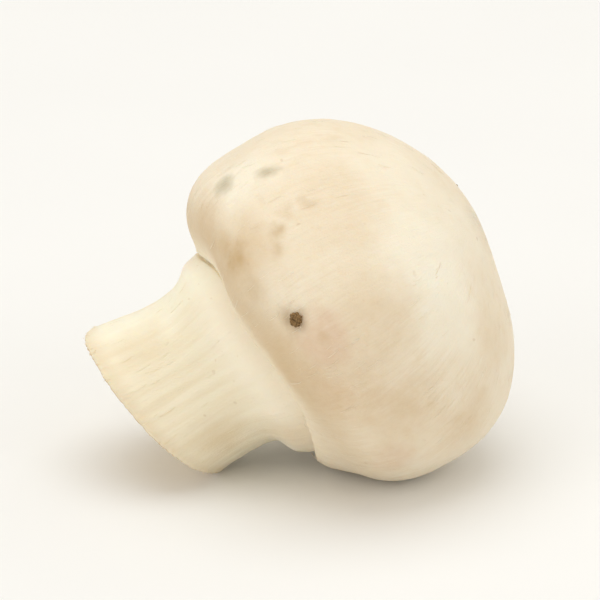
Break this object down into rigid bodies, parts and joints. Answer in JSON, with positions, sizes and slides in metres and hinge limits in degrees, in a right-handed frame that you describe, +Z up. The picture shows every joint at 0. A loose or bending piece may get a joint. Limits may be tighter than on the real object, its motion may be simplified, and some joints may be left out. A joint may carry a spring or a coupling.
{
  "type": "button mushroom",
  "caption": "White closed button mushroom lying on its side: a domed cap with an uneven rolled margin, a closed veil, and a short cut stem.",
  "frame": {"origin": "on the surface it lies on, under the middle of its bounding box", "axes": "+Z up; +X horizontal, from the cut stem towards the crown; +Y away from the side that the picture shows"},
  "size_m": [0.0444, 0.0396, 0.0369],
  "materials": {
    "mushroom_flesh": "smooth matt mushroom skin, off-white and cream"
  },
  "bodies": {
    "root": {"mushroom": "mushroom_flesh"}
  },
  "joints": []
}
